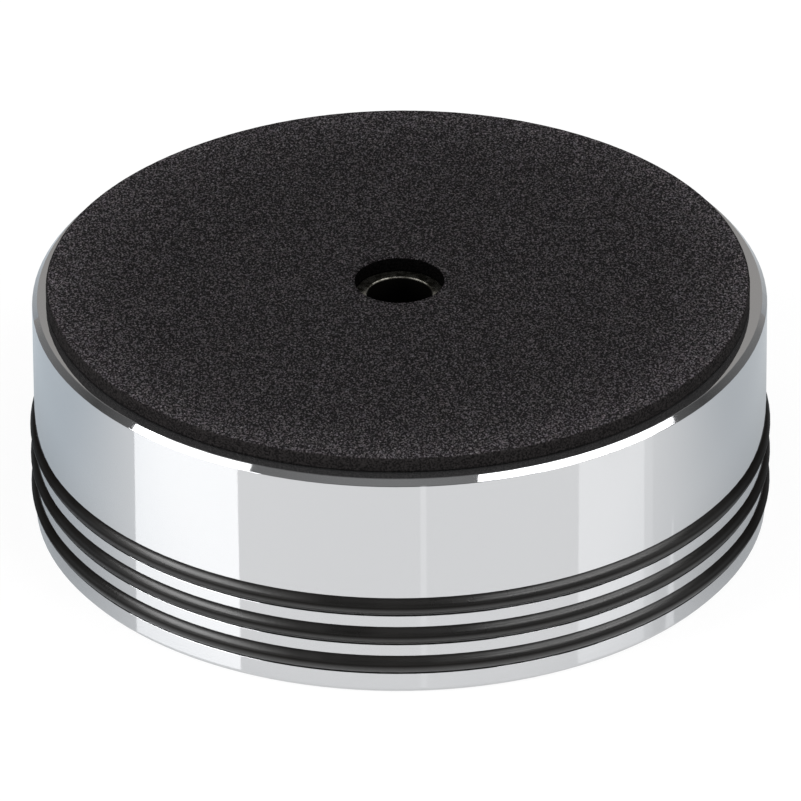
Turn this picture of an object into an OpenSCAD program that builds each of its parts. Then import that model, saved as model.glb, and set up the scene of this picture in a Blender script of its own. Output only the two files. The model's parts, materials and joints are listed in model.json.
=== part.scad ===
// Record weight clamp: a turned and polished metal disc with three rubber grip rings
// and a foam pad on the face that meets the record. It is drawn upside down, pad up.
// Millimetres. The origin is the centre of the outer face, and +Z runs up through the pad.

/* [Metal body] */
// Outer diameter of the wall
body_d = 84; // [70:1:100]
// Height from the outer face to the face that carries the pad
body_h = 27.8; // [24:0.1:40]
// Width across the face of the chamfer on both outer edges
chamfer_w = 0.6; // [0.3:0.05:1.5]
// Height of the same chamfer down the wall
chamfer_h = 0.7; // [0.3:0.05:1.5]
// Radius that breaks the two edges of each chamfer
edge_r = 0.15; // [0.05:0.05:0.25]

/* [Spindle bore] */
// Diameter of the blind bore, for a 7.2 mm record spindle
bore_d = 7.4; // [7.2:0.1:9]
// Depth of the full bore below the face that carries the pad
bore_depth = 18; // [12:0.5:19]
// Width of the chamfer at the bore's mouth
bore_chamfer = 0.15; // [0.1:0.05:0.6]
// Point angle of the drill that made the bore
drill_angle = 118; // [90:1:135]

/* [Rubber rings] */
// Width of each ring, which its groove has pressed flat on both sides
ring_w = 2.32; // [1.8:0.02:2.6]
// Height of the dome that each ring raises above the wall
ring_proud = 0.5; // [0.3:0.05:0.8]
// Radius of that dome's section
ring_dome_r = 1.3; // [1.2:0.05:2.5]
// Radius in the two inner corners of each ring's section
ring_heel_r = 0.5; // [0.2:0.1:0.8]
// Depth of each groove below the wall
groove_depth = 1.8; // [1.2:0.1:3]
// Play between a ring and each side of its groove
ring_side_play = 0.02; // [0.01:0.01:0.1]
// Play between a ring and the floor of its groove
ring_floor_play = 0.02; // [0.01:0.01:0.1]
// Wall between the outer face and the lowest groove, chamfer included
first_land = 2.64; // [2:0.02:4]
// Wall left between two grooves
land = 1.42; // [0.8:0.02:2.5]
// Radius in the two corners of a groove's floor
groove_root_r = 0.2; // [0.1:0.05:0.4]
// Radius that breaks a groove's two edges at the wall
groove_edge_r = 0.04; // [0.02:0.02:0.2]

/* [Foam pad] */
// Thickness of the pad
pad_t = 1.8; // [1:0.1:4]
// Bare metal face left between the pad and the chamfer
pad_margin = 1.4; // [0.5:0.05:5]
// Bare metal face left between the bore and the pad's hole
bore_margin = 1.4; // [0.5:0.1:5]
// Radius of the pad's upper outer edge
pad_edge_r = 0.4; // [0.1:0.1:1.5]
// Radius of the upper edge of the pad's hole
pad_hole_edge_r = 0.2; // [0.1:0.1:0.8]

/* [Hidden] */

metal = [0.80, 0.81, 0.83];
foam_black = [0.16, 0.16, 0.17];
rubber_black = [0.09, 0.09, 0.10];

turned_fn = 180;
dome_steps = 24;
corner_steps = 6;
cut_overrun = 1;

body_r = body_d / 2;
bore_r = bore_d / 2;
bore_floor = body_h - bore_depth;
drill_point = bore_r / tan(drill_angle / 2);

groove_w = ring_w + 2 * ring_side_play;
groove_floor_r = body_r - groove_depth;
ring_inner_r = groove_floor_r + ring_floor_play;
dome_r = max(ring_dome_r, ring_w / 2);
dome_centre_r = body_r + ring_proud - dome_r;
dome_half = asin(ring_w / 2 / dome_r);
dome_foot_r = dome_centre_r + dome_r * cos(dome_half);

pad_r = body_r - chamfer_w - pad_margin;
pad_hole_r = bore_r + bore_margin;
pad_round_r = min(pad_edge_r, pad_t);
pad_hole_round_r = min(pad_hole_edge_r, pad_t);

LOWER = 0;
MIDDLE = 1;
UPPER = 2;

// Height of the middle of a groove, counted up from the outer face
function groove_z(place) = first_land + groove_w / 2 + place * (groove_w + land);

function unit(v) = v / norm(v);

// A corner as a point: its radius from the axis and its height
function spot(corner) = [corner.x, corner.y];

// The points that round corner b, which lies between a and c, to the given radius
function rounded_corner(a, b, c, radius) =
    radius == 0 ? [b] :
    let (
        to_a = unit(a - b),
        to_c = unit(c - b),
        half = acos(to_a * to_c) / 2,
        centre = b + unit(to_a + to_c) * radius / sin(half),
        from = b + to_a * radius / tan(half) - centre,
        start = atan2(from.y, from.x),
        turn = sign(cross(to_c, to_a)) * (180 - 2 * half)
    )
    [for (step = [0 : corner_steps])
        let (angle = start + turn * step / corner_steps)
        centre + radius * [cos(angle), sin(angle)]];

// A closed outline from corners, each one [radius from the axis, height, rounding]
function rounded_outline(corners) =
    let (count = len(corners))
    [for (i = [0 : count - 1])
        each rounded_corner(
            spot(corners[(i + count - 1) % count]),
            spot(corners[i]),
            spot(corners[(i + 1) % count]),
            corners[i].z
        )];

// One groove's four corners, from its lower edge at the wall to its upper one
function groove_corners(place) =
    let (low = groove_z(place) - groove_w / 2, high = low + groove_w)
    [
        [body_r, low, groove_edge_r],
        [groove_floor_r, low, groove_root_r],
        [groove_floor_r, high, groove_root_r],
        [body_r, high, groove_edge_r]
    ];

// Half the section of the turned disc, from the axis round the wall and back
body_corners = [
    [0, 0, 0],
    [body_r - chamfer_w, 0, edge_r],
    [body_r, chamfer_h, edge_r],
    each groove_corners(LOWER),
    each groove_corners(MIDDLE),
    each groove_corners(UPPER),
    [body_r, body_h - chamfer_h, edge_r],
    [body_r - chamfer_w, body_h, edge_r],
    [0, body_h, 0]
];

// Half the section of the pad, from the foot of its hole round its outer edge
pad_corners = [
    [pad_hole_r, 0, 0],
    [pad_r, 0, 0],
    [pad_r, pad_t, pad_round_r],
    [pad_hole_r, pad_t, pad_hole_round_r]
];

// Half the section of a ring about its own middle, from its upper side round the inside to its dome
ring_corners = [
    [dome_foot_r, ring_w / 2, 0],
    [ring_inner_r, ring_w / 2, ring_heel_r],
    [ring_inner_r, -ring_w / 2, ring_heel_r],
    [dome_foot_r, -ring_w / 2, 0]
];

// The dome between the ring's two sides, from the lower one up
ring_dome = [for (step = [1 : dome_steps - 1])
    let (angle = dome_half * (2 * step / dome_steps - 1))
    [dome_centre_r + dome_r * cos(angle), dome_r * sin(angle)]];

// Everything the drill and the mouth chamfer take out of the disc
module spindle_bore() {
    translate([0, 0, bore_floor])
        cylinder(r = bore_r, h = bore_depth + cut_overrun, $fn = turned_fn);
    translate([0, 0, bore_floor - drill_point])
        cylinder(r1 = 0, r2 = bore_r, h = drill_point, $fn = turned_fn);
    translate([0, 0, body_h - bore_chamfer])
        cylinder(r1 = bore_r, r2 = bore_r + bore_chamfer, h = bore_chamfer, $fn = turned_fn);
}

module weight_body() {
    color(metal)
        difference() {
            rotate_extrude($fn = turned_fn)
                polygon(rounded_outline(body_corners));
            spindle_bore();
        }
}

module foam_pad() {
    color(foam_black)
        translate([0, 0, body_h])
            rotate_extrude($fn = turned_fn)
                polygon(rounded_outline(pad_corners));
}

// One rubber ring, pressed into its groove so that it stands above the wall as a low dome
module o_ring(place) {
    color(rubber_black)
        translate([0, 0, groove_z(place)])
            rotate_extrude($fn = turned_fn)
                polygon(concat(rounded_outline(ring_corners), ring_dome));
}

module o_ring_upper() {
    o_ring(UPPER);
}

module o_ring_middle() {
    o_ring(MIDDLE);
}

module o_ring_lower() {
    o_ring(LOWER);
}

weight_body();
foam_pad();
o_ring_upper();
o_ring_middle();
o_ring_lower();
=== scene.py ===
import json
import math

import bpy
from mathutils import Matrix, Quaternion, Vector, noise

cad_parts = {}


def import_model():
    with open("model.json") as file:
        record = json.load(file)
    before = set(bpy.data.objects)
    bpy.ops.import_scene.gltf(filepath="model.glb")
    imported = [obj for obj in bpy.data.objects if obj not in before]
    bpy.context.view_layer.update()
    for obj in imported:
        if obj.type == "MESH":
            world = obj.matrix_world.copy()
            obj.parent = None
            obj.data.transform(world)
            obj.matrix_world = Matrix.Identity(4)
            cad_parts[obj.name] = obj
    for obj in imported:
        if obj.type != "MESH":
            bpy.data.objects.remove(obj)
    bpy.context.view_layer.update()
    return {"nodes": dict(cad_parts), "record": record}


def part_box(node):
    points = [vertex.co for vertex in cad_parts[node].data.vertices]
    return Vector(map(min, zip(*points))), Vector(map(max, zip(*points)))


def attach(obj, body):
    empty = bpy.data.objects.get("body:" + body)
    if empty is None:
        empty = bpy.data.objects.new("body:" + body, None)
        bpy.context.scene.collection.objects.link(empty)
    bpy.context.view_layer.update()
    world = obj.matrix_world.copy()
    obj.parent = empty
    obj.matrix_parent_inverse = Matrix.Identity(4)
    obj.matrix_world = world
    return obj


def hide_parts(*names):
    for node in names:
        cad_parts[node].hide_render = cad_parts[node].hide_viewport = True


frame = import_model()

# Everything is in metres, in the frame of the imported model: +Z up along the spindle bore,
# with the weight lying on its outer face at z = 0 and the foam pad on top. Azimuths turn
# round that axis, 0 towards the camera and 90 to its right. A pair of places or heights
# says where something starts to change and where it has changed, and colours are linear.
MM = 0.001
DEG = math.radians(1)

# The camera, as the photograph was taken: far off through a long lens, a little rolled
CAMERA_DISTANCE = 1.5
CAMERA_ELEVATION = 30.44 * DEG
CAMERA_ROLL = -0.31 * DEG
CAMERA_AIM = Vector((0.04 * MM, 0, 13.61 * MM))
CAMERA_NEAR = 0.05
CAMERA_FAR = 50.0
SENSOR_WIDTH = 36.0
LENS = 587.3

# Sizes of the object, from the frame
WALL_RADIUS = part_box("weight_body")[1].x
BORE_RADIUS = next(
    mount["dims"]["r_mm"] * MM
    for mount in frame["record"]["mounts"] if mount["name"] == "spindle_bore"
)
PAD_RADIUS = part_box("foam_pad")[1].x
PAD_HOLE_RADIUS = min(v.co.xy.length for v in frame["nodes"]["foam_pad"].data.vertices)

# The foam pad's mesh: the radii of its two upper edges, its step, and its grain's relief.
# The relief is full from PAD_GLUED_HEIGHT above the foot. It moves the side's wall, which is
# PAD_WALL_DEPTH deep, outwards and the top up, and it leaves the hole's wall plain. The shift
# sets which slice of the noise the top shows.
PAD_EDGE = 0.35 * MM
PAD_HOLE_EDGE = 0.15 * MM
PAD_GRAIN_STEP = 0.25 * MM
PAD_RELIEF = 0.03 * MM
PAD_RELIEF_SCALE = 1900
PAD_GRAIN_SHIFT = Vector((0, 0, 0.03 * MM))
PAD_GLUED_HEIGHT = 0.6 * MM
PAD_WALL_DEPTH = 0.2 * MM
PAD_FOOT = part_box("foam_pad")[0].z
PAD_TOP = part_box("foam_pad")[1].z - PAD_RELIEF

# Where the pad's cut outline strays from its circle, each (azimuth, spread, size), and how
# fast that dies away inwards
PAD_TRIM = [(-92, 22, 0.40 * MM), (-145, 22, -0.28 * MM)]
PAD_TRIM_POWER = 4

# In the materials a noise is (scale, detail) and at times roughness, and a relief is
# (strength, depth). A noise's values mostly lie in NOISE_SPAN.
NOISE_SPAN = (0.3, 0.7)

# The metal: a mirror with faint smears, turning lines and waves. It is dulled round the bore's
# mouth, with patchy painted shade there, and painted shade darkens the inside of the bore, but
# it is plain on the outer face.
METAL_COLOUR = (0.64, 0.647, 0.66, 1)
METAL_SHARE = 0.97
METAL_POLISH = (0.02, 0.05)
METAL_SMEARS = (90.0, 3.0)
METAL_LINES = (3000.0, 2.0, 0.6)
METAL_LINE_RELIEF = (0.05, 0.01 * MM)
METAL_WAVES = (60.0, 1.0)
METAL_WAVE_RELIEF = (0.2, 0.04 * MM)
# Round the bore's mouth, inside the pad's hole, the patchy tones are painted shade of the dark
# hole that the metal mirrors; the roughness there is the metal's own.
DULLED_AND_SHADED_RADII = (PAD_HOLE_RADIUS + 0.8 * MM, PAD_HOLE_RADIUS + 0.3 * MM)
DULLED_ROUGHNESS = 0.24
MOUTH_SHADE_PATCHES = (1100.0, 2.0)
MOUTH_SHADE_TONES = [(0.41, (0.10, 0.096, 0.078)), (0.59, (0.37, 0.36, 0.32))]
BORE_EDGE_RADII = (BORE_RADIUS + 0.20 * MM, BORE_RADIUS + 0.16 * MM)
BORE_EDGE_ROUGHNESS = 0.38
# Inside the bore the colour is painted shade, near black.
BORE_SHADE_RADII = (BORE_RADIUS + 0.10 * MM, BORE_RADIUS + 0.02 * MM)
BORE_SHADE_COLOUR = (0.02, 0.019, 0.017, 1)
ABOVE_OUTER_FACE = (2 * MM, 6 * MM)

# The rings: satin where the normal turns up or down from the crown's, and no gloss where the
# wall is seen aslant
RING_TONES = [(0.3, (0.0045, 0.0041, 0.0038)), (0.7, (0.007, 0.0063, 0.0058))]
RING_ROUGHNESS = (0.26, 0.34)
RING_CLOUDS = (160.0, 2.0)
RING_GRAIN = (2200.0, 3.0)
RING_RELIEF = (0.25, 0.03 * MM)
RING_CROWN_TURN = 0.08
RING_SATIN_TURNS = (0.0, 0.36)
RING_SATIN = (0.1, 0.6)
RING_ASLANT = (0.35, 0.75)
RING_ASLANT_GLOSS = (1.0, 0.02)

# The foam: its grain is drawn out from front to back, and its top is painted paler towards the
# rim, a painted highlight where the edge catches light
FOAM_STRETCH = (1.1, 0.74, 1.0)
FOAM_GRAIN = (4300.0, 1.0)
FOAM_RELIEF = (0.7, 0.12 * MM)
FOAM_ROUGHNESS = 0.85
FOAM_TOP_TONES = [
    (0.38, (0.0040, 0.0036, 0.0039)),
    (0.48, (0.0099, 0.0089, 0.0096)),
    (0.56, (0.0226, 0.0204, 0.0218)),
    (0.66, (0.0520, 0.0468, 0.0503)),
]
FOAM_CUT_TONES = [(0.38, (0.0050, 0.0045, 0.0046)), (0.62, (0.0200, 0.0180, 0.0180))]
FOAM_TINT = 0.08
FOAM_TINTS = (1500.0, 1.0)
SPECK_CELLS = 1700.0
SPECK_COLOUR = (0.084, 0.0755, 0.081, 1)
SPECK_SHARE = 0.38
SPECK_DISTANCES = (0.26, 0.10)
# The top's painted highlight, paler towards the rim
RIM_HIGHLIGHT_RADIUS = 39 * MM
RIM_HIGHLIGHT_POWER = 8
RIM_HIGHLIGHT_GAIN = 0.76
# The side's colour is dimmed by painted shade at the foot, where it meets the metal, and most
# in the hole, where the same dimming also takes away the sheen.
FOOT_SHADE_HEIGHTS = (PAD_FOOT, PAD_FOOT + 0.3 * MM)
FOOT_SHADE_LEVELS = (0.25, 1.0)
HOLE_SHADE_RADII = (PAD_HOLE_RADIUS + 0.35 * MM, PAD_HOLE_RADIUS + 0.20 * MM)
HOLE_SHADE_LEVELS = (1.0, 0.12)
TOP_HEIGHTS = (PAD_TOP - 0.11 * MM, PAD_TOP - 0.015 * MM)
FOAM_GLOSS = (0.07, 0.1)

# The dim studio that gloss mirrors, from behind the camera to behind the object, and the
# plain light that everything else gets
STUDIO_FROM_FRONT_TO_BACK = [
    (0.0, (0.04, 0.04, 0.04)),
    (0.03, (0.06, 0.06, 0.06)),
    (0.18, (0.22, 0.22, 0.22)),
    (0.25, (0.175, 0.175, 0.175)),
    (0.52, (0.11, 0.11, 0.11)),
    (0.63, (0.05, 0.05, 0.05)),
    (0.73, (0.12, 0.12, 0.12)),
    (0.86, (0.20, 0.20, 0.20)),
    (0.93, (0.39, 0.375, 0.36)),
]
AMBIENT = (0.55, 0.55, 0.55, 1)
WHITE = (1, 1, 1, 1)

# The lamps, each (name, azimuth, elevation, angle across, angle high, radiance, roll), with
# the angles in degrees as seen from the object
LAMP_DISTANCE = 0.9
LAMPS = [
    ("key", -70.5, 28.5, 38.6, 13, 7.5, 0),
    ("key top", -70.0, 39.5, 34.0, 13, 2.2, 0),
    ("key low", -60, 14, 38, 16, 5.8, 0),
    ("fill", 65.5, 44.7, 68, 18.5, 3.4, -6.5),
    ("band", 68.4, 30.2, 24.7, 4.5, 1.9, 0),
    ("band end", 70.2, 30.2, 28.3, 4.5, 0.9, 0),
    ("low", 52, 23.4, 58, 8.4, 6.8, 0),
    ("streak", 6.8, 30, 1.8, 10, 1.35, 0),
]

# The table. What is seen of it is a glow over a plain colour that takes the lamps' light, and
# every other ray meets a plain colour alone. The metal sees the glow white in front, with
# painted shade that makes it bluish and darker behind, a painted shadow under the edge and
# close behind the object, and painted shade that makes it dimmer far off.
TABLE_HALF_SIDE = 3.0
TABLE_GAP = 0.02 * MM
TABLE_GLOW = 0.825
TABLE_LIT = (0.2, 0.2, 0.2, 1)
TABLE_UNSEEN = (0.5, 0.5, 0.5, 1)
TABLE_GLOSS_ROUGHNESS = 0.02
TABLE_IOR = 1.5
TABLE_MIRROR_LIMIT = 0.35
# Painted shade: the bluish, darker tones of the table behind the object
TABLE_SHADE_BACK_LEFT = (0.472, 0.547, 0.613, 1)
TABLE_SHADE_BACK_RIGHT = (0.52, 0.563, 0.60, 1)
LEFT_TO_RIGHT = (-0.02, 0.02)
FRONT_TO_BACK = (-0.050, 0.010)
# Painted shadow under the edge and close behind the object, and painted shade far off in the
# mirror
UNDER_EDGE = (WALL_RADIUS - 0.6 * MM, WALL_RADIUS + 0.4 * MM)
UNDER_EDGE_SHADOW_TONES = (0.8, 1.0)
CLOSE_BY = (WALL_RADIUS + 1 * MM, WALL_RADIUS + 22 * MM)
CLOSE_BY_SHADOW_TONES = (0.36, 0.0)
BEHIND_FRONT = (-0.040, -0.014)
FAR_OFF = (0.12, 0.30)
FAR_OFF_MIRRORED_SHADE = (1.0, 0.75)
FAR_OFF_SEEN = (1.0, 1.25)


# Node helpers

def new_material(name):
    """An empty node material and its tree."""
    material = bpy.data.materials.new(name)
    material.use_nodes = True
    tree = material.node_tree
    tree.nodes.clear()
    return material, tree


def add(tree, kind, inputs=None, **settings):
    """Adds a node, sets its properties, and sets or links its inputs by name or number."""
    node = tree.nodes.new(kind)
    for name, value in settings.items():
        setattr(node, name, value)
    for name, value in (inputs or {}).items():
        socket = node.inputs[name]
        if isinstance(value, bpy.types.NodeSocket):
            tree.links.new(value, socket)
        else:
            socket.default_value = value
    return node


def output(tree, shader, kind="ShaderNodeOutputMaterial"):
    add(tree, kind, {"Surface": shader})


def math_node(tree, operation, a, b=0.0, c=0.0):
    """One sum of a material, such as MULTIPLY of two sockets or numbers."""
    return add(tree, "ShaderNodeMath", {0: a, 1: b, 2: c}, operation=operation).outputs[0]


def vector_node(tree, operation, inputs):
    """One sum of vectors, with its inputs by number."""
    return add(tree, "ShaderNodeVectorMath", inputs, operation=operation).outputs[0]


def scaled(tree, colour, factor):
    """A colour times a factor."""
    return vector_node(tree, "SCALE", {0: colour, 3: factor})


def change(tree, value, places, levels=(0.0, 1.0), form="SMOOTHSTEP"):
    """A change from the first level at the first place to the second one at the second."""
    inputs = {
        "Value": value,
        "From Min": places[0], "From Max": places[1],
        "To Min": levels[0], "To Max": levels[1],
    }
    return add(tree, "ShaderNodeMapRange", inputs, interpolation_type=form).outputs[0]


def mix_value(tree, factor, first, second):
    return add(
        tree, "ShaderNodeMix", {0: factor, 2: first, 3: second}, data_type="FLOAT"
    ).outputs[0]


def mix_colour(tree, factor, first, second, blend="MIX"):
    return add(
        tree, "ShaderNodeMix", {0: factor, 6: first, 7: second},
        data_type="RGBA", blend_type=blend,
    ).outputs[2]


def ramp(tree, factor, stops):
    """A colour ramp from a list of (place, colour)."""
    node = add(tree, "ShaderNodeValToRGB", {"Fac": factor})
    elements = node.color_ramp.elements
    while len(elements) < len(stops):
        elements.new(0.5)
    for element, (place, colour) in zip(elements, stops):
        element.position = place
        element.color = (*colour, 1)
    return node.outputs["Color"]


def noise_node(tree, place, scale, detail, roughness=0.5):
    """A noise texture, with a plain value as its first output and a coloured one beside it."""
    inputs = {"Vector": place, "Scale": scale, "Detail": detail, "Roughness": roughness}
    return add(tree, "ShaderNodeTexNoise", inputs).outputs


def bump(tree, height, strength, distance, below=None):
    """The normal of a relief, laid over another normal if one is given."""
    inputs = {"Height": height, "Strength": strength, "Distance": distance}
    if below is not None:
        inputs["Normal"] = below
    return add(tree, "ShaderNodeBump", inputs).outputs[0]


def surface(tree, inputs):
    """Ends a material with its one shader."""
    output(tree, add(tree, "ShaderNodeBsdfPrincipled", inputs).outputs[0])


def parts_of(tree, place):
    """The X, Y and Z of a place."""
    return add(tree, "ShaderNodeSeparateXYZ", {"Vector": place}).outputs


def from_axis(tree, place):
    """The distance of a place from the axis."""
    parts = parts_of(tree, place)
    flat = add(tree, "ShaderNodeCombineXYZ", {"X": parts["X"], "Y": parts["Y"]}).outputs[0]
    return add(tree, "ShaderNodeVectorMath", {0: flat}, operation="LENGTH").outputs["Value"]


# Materials of the object

def bore_zones(tree, radius, height):
    """How far a place lies in the dulled ring of painted shade round the mouth, in the bore's
    edge, and in the bore, which is painted shade.
    """
    above = change(tree, height, ABOVE_OUTER_FACE)
    return [
        math_node(tree, "MULTIPLY", change(tree, radius, radii), above)
        for radii in (DULLED_AND_SHADED_RADII, BORE_EDGE_RADII, BORE_SHADE_RADII)
    ]


def polished_metal():
    """Turned aluminium polished to a mirror, with faint turning lines and waves."""
    material, tree = new_material("polished_metal")
    place = add(tree, "ShaderNodeTexCoord").outputs["Object"]
    height = parts_of(tree, place)["Z"]
    radius = from_axis(tree, place)
    dulled_and_shaded, edge, deep = bore_zones(tree, radius, height)
    smears = noise_node(tree, place, *METAL_SMEARS)[0]
    polish = change(tree, smears, NOISE_SPAN, METAL_POLISH, "LINEAR")
    rough = mix_value(tree, dulled_and_shaded, polish, DULLED_ROUGHNESS)
    rough = mix_value(tree, edge, rough, BORE_EDGE_ROUGHNESS)
    # Patchy painted shade round the mouth, and near-black painted shade inside the bore
    mouth_shade = ramp(tree, noise_node(tree, place, *MOUTH_SHADE_PATCHES)[0], MOUTH_SHADE_TONES)
    colour = mix_colour(tree, dulled_and_shaded, METAL_COLOUR, mouth_shade)
    colour = mix_colour(tree, deep, colour, BORE_SHADE_COLOUR)
    turned = add(tree, "ShaderNodeCombineXYZ", {"X": radius, "Y": height, "Z": 0.0}).outputs[0]
    form = bump(tree, noise_node(tree, turned, *METAL_LINES)[0], *METAL_LINE_RELIEF)
    form = bump(tree, noise_node(tree, place, *METAL_WAVES)[0], *METAL_WAVE_RELIEF, form)
    surface(
        tree,
        {"Base Color": colour, "Metallic": METAL_SHARE, "Roughness": rough, "Normal": form},
    )
    return material


def ring_gloss(tree, place):
    """Satin on a ring's shoulders, duller along its crown, and none where it is seen aslant."""
    facing = add(tree, "ShaderNodeNewGeometry").outputs["Normal"]
    turn = math_node(tree, "SUBTRACT", parts_of(tree, facing)["Z"], RING_CROWN_TURN)
    turn = math_node(tree, "ABSOLUTE", turn)
    satin = change(tree, turn, RING_SATIN_TURNS, RING_SATIN)
    outward = vector_node(tree, "MULTIPLY", {0: place, 1: (1, 1, 0)})
    outward = vector_node(tree, "NORMALIZE", {0: outward})
    aslant = add(
        tree, "ShaderNodeLayerWeight", {"Blend": 0.5, "Normal": outward}
    ).outputs["Facing"]
    kept = change(tree, aslant, RING_ASLANT, RING_ASLANT_GLOSS)
    return math_node(tree, "MULTIPLY", satin, kept)


def ring_rubber():
    """Black rubber with a fine grain and faint clouds."""
    material, tree = new_material("ring_rubber")
    place = add(tree, "ShaderNodeTexCoord").outputs["Object"]
    clouds = noise_node(tree, place, *RING_CLOUDS)[0]
    grain = noise_node(tree, place, *RING_GRAIN)[0]
    surface(
        tree,
        {
            "Base Color": ramp(tree, clouds, RING_TONES),
            "Roughness": change(tree, clouds, NOISE_SPAN, RING_ROUGHNESS, "LINEAR"),
            "Specular IOR Level": ring_gloss(tree, place),
            "Normal": bump(tree, grain, *RING_RELIEF),
        },
    )
    return material


def foam_top(tree, drawn, grain, radius):
    """The top's colour: dark pits, bright specks and a faint tint, with a painted highlight
    that makes it paler towards the rim.
    """
    cells = add(tree, "ShaderNodeTexVoronoi", {"Vector": drawn, "Scale": SPECK_CELLS}).outputs
    chance = add(tree, "ShaderNodeSeparateColor", {"Color": cells["Color"]}).outputs[0]
    chosen = math_node(tree, "GREATER_THAN", chance, 1 - SPECK_SHARE)
    dots = change(tree, cells["Distance"], SPECK_DISTANCES)
    specks = math_node(tree, "MULTIPLY", dots, chosen)
    colour = mix_colour(tree, specks, ramp(tree, grain, FOAM_TOP_TONES), SPECK_COLOUR)
    tint = noise_node(tree, drawn, *FOAM_TINTS)["Color"]
    colour = mix_colour(tree, FOAM_TINT, colour, tint, "OVERLAY")
    # Painted highlight: the top is painted paler towards the rim
    rim_highlight = math_node(tree, "DIVIDE", radius, RIM_HIGHLIGHT_RADIUS)
    rim_highlight = math_node(tree, "POWER", rim_highlight, RIM_HIGHLIGHT_POWER)
    return scaled(tree, colour, math_node(tree, "MULTIPLY_ADD", rim_highlight, RIM_HIGHLIGHT_GAIN, 1.0))


def foam_rubber():
    """Black foam with a fine grain, its cut sides darker, with painted shade at their foot and
    the darkest painted shade in the hole.
    """
    material, tree = new_material("foam_rubber")
    place = add(tree, "ShaderNodeTexCoord").outputs["Object"]
    height = parts_of(tree, place)["Z"]
    radius = from_axis(tree, place)
    drawn = vector_node(
        tree, "MULTIPLY_ADD", {0: place, 1: FOAM_STRETCH, 2: PAD_GRAIN_SHIFT}
    )
    grain = noise_node(tree, drawn, *FOAM_GRAIN)[0]
    # Painted shade at the side's foot and in the hole
    foot = change(tree, height, FOOT_SHADE_HEIGHTS, FOOT_SHADE_LEVELS)
    hole_shade = change(tree, radius, HOLE_SHADE_RADII, HOLE_SHADE_LEVELS)
    side = scaled(
        tree, ramp(tree, grain, FOAM_CUT_TONES), math_node(tree, "MULTIPLY", foot, hole_shade)
    )
    on_top = change(tree, height, TOP_HEIGHTS)
    sheen = change(tree, on_top, (0.0, 1.0), FOAM_GLOSS)
    surface(
        tree,
        {
            "Base Color": mix_colour(tree, on_top, side, foam_top(tree, drawn, grain, radius)),
            "Roughness": FOAM_ROUGHNESS,
            "Specular IOR Level": math_node(tree, "MULTIPLY", sheen, hole_shade),
            "Normal": bump(tree, grain, *FOAM_RELIEF),
        },
    )
    return material


def dress(names, material):
    """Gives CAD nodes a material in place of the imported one."""
    for name in names:
        mesh = frame["nodes"][name].data
        mesh.materials.clear()
        mesh.materials.append(material)


# The foam pad

def arc(centre, radius, start, end):
    """Points along an arc in the pad's section, each (distance from the axis, height)."""
    count = max(2, round(abs(end - start) * radius / PAD_GRAIN_STEP))
    return [
        (centre[0] + radius * math.cos(a), centre[1] + radius * math.sin(a))
        for a in (start + (end - start) * i / count for i in range(count + 1))
    ]


def line(start, end):
    """Points along a straight stretch, without its last point."""
    count = max(1, round(math.dist(start, end) / PAD_GRAIN_STEP))
    return [
        (start[0] + (end[0] - start[0]) * i / count, start[1] + (end[1] - start[1]) * i / count)
        for i in range(count)
    ]


def pad_section():
    """The pad's section, from the foot of its hole over the top to the foot of its side."""
    quarter = math.pi / 2
    hole_centre = (PAD_HOLE_RADIUS + PAD_HOLE_EDGE, PAD_TOP - PAD_HOLE_EDGE)
    side_centre = (PAD_RADIUS - PAD_EDGE, PAD_TOP - PAD_EDGE)
    hole_arc = arc(hole_centre, PAD_HOLE_EDGE, 2 * quarter, quarter)
    side_arc = arc(side_centre, PAD_EDGE, quarter, 0)
    return (
        line((PAD_HOLE_RADIUS, PAD_FOOT), hole_arc[0])
        + hole_arc[:-1]
        + line(hole_arc[-1], side_arc[0])
        + side_arc[:-1]
        + line(side_arc[-1], (PAD_RADIUS, PAD_FOOT))
        + [(PAD_RADIUS, PAD_FOOT)]
    )


def trim(angle):
    """How far the pad's cut outline strays from its circle, by the angle from +X."""
    azimuth = math.degrees(angle) + 90
    stray = 0.0
    for middle, spread, size in PAD_TRIM:
        apart = (azimuth - middle + 180) % 360 - 180
        stray += size * math.exp(-(apart / spread) ** 2)
    return stray


def pad_point(radius, height, angle):
    """A point of the pad's surface, moved out or up by the grain's relief."""
    reach = radius + trim(angle) * (radius / PAD_RADIUS) ** PAD_TRIM_POWER
    outward = Vector((math.cos(angle), math.sin(angle), 0))
    point = outward * reach
    point.z = height
    relief = noise.noise((point + PAD_GRAIN_SHIFT) * PAD_RELIEF_SCALE) * PAD_RELIEF
    relief *= min(1.0, (height - PAD_FOOT) / PAD_GLUED_HEIGHT)
    if radius > PAD_RADIUS - PAD_WALL_DEPTH:
        point += outward * relief
    elif radius > PAD_HOLE_RADIUS + PAD_WALL_DEPTH:
        point.z += relief
    return point


def bridge(lower, upper):
    """Triangles between two rings of points, each given as (first index, count)."""
    faces = []
    (a0, a_count), (b0, b_count) = lower, upper
    a = b = 0
    while a < a_count or b < b_count:
        here, there = a0 + a % a_count, b0 + b % b_count
        if b == b_count or (a < a_count and (a + 1) * b_count <= (b + 1) * a_count):
            faces.append((here, a0 + (a + 1) % a_count, there))
            a += 1
        else:
            faces.append((here, b0 + (b + 1) % b_count, there))
            b += 1
    return faces


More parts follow.
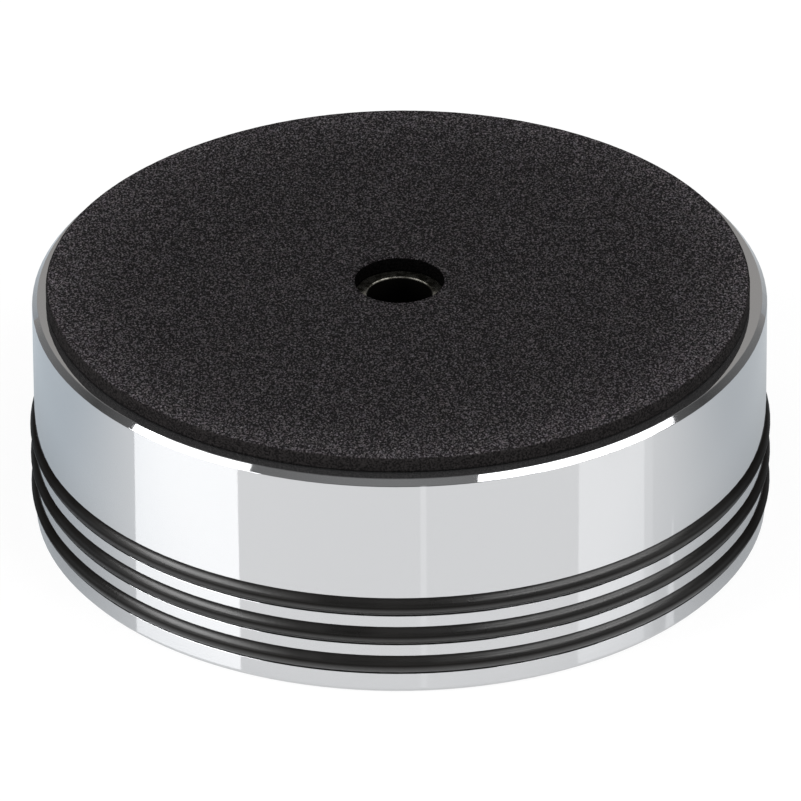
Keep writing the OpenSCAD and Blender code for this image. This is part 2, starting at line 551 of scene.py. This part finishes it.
def foam_pad():
    """The pad as a turned form with a fine grain of real relief, one ring of points a step."""
    points = []
    rings = []
    for place, (radius, height) in enumerate(pad_section()):
        count = round(2 * math.pi * radius / PAD_GRAIN_STEP)
        rings.append((len(points), count))
        stagger = 0.5 * (place % 2)
        points += [
            pad_point(radius, height, 2 * math.pi * (i + stagger) / count) for i in range(count)
        ]
    faces = []
    for lower, upper in zip(rings, rings[1:] + rings[:1]):
        faces += bridge(lower, upper)
    mesh = bpy.data.meshes.new("foam_pad_grained")
    mesh.from_pydata(points, [], faces)
    mesh.validate()
    mesh.shade_smooth()
    mesh.materials.append(foam_rubber())
    piece = bpy.data.objects.new("foam_pad_grained", mesh)
    bpy.context.scene.collection.objects.link(piece)
    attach(piece, "root")
    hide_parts("foam_pad")


# The studio

def towards(azimuth, elevation):
    """The unit vector at an azimuth and an elevation."""
    flat = math.cos(elevation)
    return Vector(
        (math.sin(azimuth) * flat, -math.cos(azimuth) * flat, math.sin(elevation))
    )


def facing_back(way, roll):
    """The turn of a camera or lamp that looks back along a way, rolled about it."""
    return (-way).to_track_quat("-Z", "Y") @ Quaternion((0, 0, 1), roll)


def camera():
    data = bpy.data.cameras.new("camera")
    data.sensor_width = SENSOR_WIDTH
    data.lens = LENS
    data.clip_start = CAMERA_NEAR
    data.clip_end = CAMERA_FAR
    cam = bpy.data.objects.new("camera", data)
    bpy.context.scene.collection.objects.link(cam)
    back = towards(0, CAMERA_ELEVATION)
    cam.location = CAMERA_AIM + back * CAMERA_DISTANCE
    cam.rotation_mode = "QUATERNION"
    cam.rotation_quaternion = facing_back(back, CAMERA_ROLL)
    bpy.context.scene.camera = cam


def softbox(name, azimuth, elevation, across, high, radiance, roll):
    """A soft lamp that faces the object, as LAMPS lists it."""
    way = towards(azimuth * DEG, elevation * DEG)
    wide = 2 * LAMP_DISTANCE * math.tan(across * DEG / 2) * math.cos(elevation * DEG)
    tall = 2 * LAMP_DISTANCE * math.tan(high * DEG / 2)
    data = bpy.data.lights.new(name, "AREA")
    data.shape = "RECTANGLE"
    data.size = wide
    data.size_y = tall
    data.energy = radiance * math.pi * wide * tall
    lamp = bpy.data.objects.new(name, data)
    bpy.context.scene.collection.objects.link(lamp)
    lamp.location = way * LAMP_DISTANCE
    lamp.rotation_mode = "QUATERNION"
    lamp.rotation_quaternion = facing_back(way, roll * DEG)


def world():
    """A white backdrop for the camera, plain soft light, and the dim studio for gloss."""
    scene_world = bpy.data.worlds.new("studio")
    scene_world.use_nodes = True
    tree = scene_world.node_tree
    tree.nodes.clear()
    way = add(tree, "ShaderNodeTexCoord").outputs["Generated"]
    depth = change(tree, parts_of(tree, way)["Y"], (-1.0, 1.0), form="LINEAR")
    studio = ramp(tree, depth, STUDIO_FROM_FRONT_TO_BACK)
    rays = add(tree, "ShaderNodeLightPath").outputs
    colour = mix_colour(tree, rays["Is Glossy Ray"], AMBIENT, studio)
    colour = mix_colour(tree, rays["Is Camera Ray"], colour, WHITE)
    shade = add(tree, "ShaderNodeBackground", {"Color": colour, "Strength": 1.0})
    output(tree, shade.outputs[0], "ShaderNodeOutputWorld")
    bpy.context.scene.world = scene_world


def mirrored_table(tree, place, radius):
    """The table's tone as gloss sees it, by the place on it, with painted shade behind and far
    off, and a painted shadow under the edge and close behind the object.
    """
    parts = parts_of(tree, place)
    rightward = change(tree, parts["X"], LEFT_TO_RIGHT)
    # Painted shade: bluish and darker behind
    back = mix_colour(tree, rightward, TABLE_SHADE_BACK_LEFT, TABLE_SHADE_BACK_RIGHT)
    tone = mix_colour(tree, change(tree, parts["Y"], FRONT_TO_BACK), WHITE, back)
    # Painted shadow under the edge and close behind the object
    close = change(tree, radius, CLOSE_BY, CLOSE_BY_SHADOW_TONES)
    close_shadow = math_node(tree, "MULTIPLY", close, change(tree, parts["Y"], BEHIND_FRONT))
    beside = change(tree, radius, UNDER_EDGE, UNDER_EDGE_SHADOW_TONES)
    beside = math_node(tree, "SUBTRACT", beside, close_shadow)
    # Painted shade: dimmer far off
    beyond = change(tree, radius, FAR_OFF, FAR_OFF_MIRRORED_SHADE)
    return scaled(tree, tone, math_node(tree, "MULTIPLY", beside, beyond))


def table_material():
    """A white table with a clear gloss that only mirrored rays see, open from below."""
    material, tree = new_material("table")
    geometry = add(tree, "ShaderNodeNewGeometry").outputs
    radius = from_axis(tree, geometry["Position"])
    rays = add(tree, "ShaderNodeLightPath").outputs
    seen = math_node(tree, "MAXIMUM", rays["Is Camera Ray"], rays["Is Transmission Ray"])
    seen = math_node(tree, "MAXIMUM", seen, rays["Is Glossy Ray"])
    far_off = change(tree, radius, FAR_OFF, FAR_OFF_SEEN)
    mirrored = mirrored_table(tree, geometry["Position"], radius)
    tone = mix_colour(tree, rays["Is Glossy Ray"], far_off, mirrored)
    glow = add(tree, "ShaderNodeEmission", {"Color": tone, "Strength": TABLE_GLOW}).outputs[0]
    lit = add(tree, "ShaderNodeBsdfDiffuse", {"Color": TABLE_LIT}).outputs[0]
    shown = add(tree, "ShaderNodeAddShader", {0: glow, 1: lit}).outputs[0]
    unseen = add(tree, "ShaderNodeBsdfDiffuse", {"Color": TABLE_UNSEEN}).outputs[0]
    body = add(tree, "ShaderNodeMixShader", {0: seen, 1: unseen, 2: shown}).outputs[0]
    gloss = add(
        tree, "ShaderNodeBsdfGlossy", {"Roughness": TABLE_GLOSS_ROUGHNESS}
    ).outputs[0]
    mirror = add(tree, "ShaderNodeFresnel", {"IOR": TABLE_IOR}).outputs[0]
    mirror = math_node(tree, "MINIMUM", mirror, TABLE_MIRROR_LIMIT)
    mirror = math_node(tree, "MULTIPLY", mirror, rays["Is Glossy Ray"])
    glossy = add(tree, "ShaderNodeMixShader", {0: mirror, 1: body, 2: gloss}).outputs[0]
    clear = add(tree, "ShaderNodeBsdfTransparent").outputs[0]
    from_below = geometry["Backfacing"]
    output(
        tree, add(tree, "ShaderNodeMixShader", {0: from_below, 1: glossy, 2: clear}).outputs[0]
    )
    return material


def floor():
    side, low = TABLE_HALF_SIDE, -TABLE_GAP
    corners = [(-side, -side, low), (side, -side, low), (side, side, low), (-side, side, low)]
    mesh = bpy.data.meshes.new("floor")
    mesh.from_pydata(corners, [], [(0, 1, 2, 3)])
    mesh.materials.append(table_material())
    piece = bpy.data.objects.new("floor", mesh)
    bpy.context.scene.collection.objects.link(piece)


camera()
world()
floor()
for lamp in LAMPS:
    softbox(*lamp)
dress(["weight_body"], polished_metal())
dress(["o_ring_upper", "o_ring_middle", "o_ring_lower"], ring_rubber())
foam_pad()

bpy.context.scene.view_settings.view_transform = "Standard"
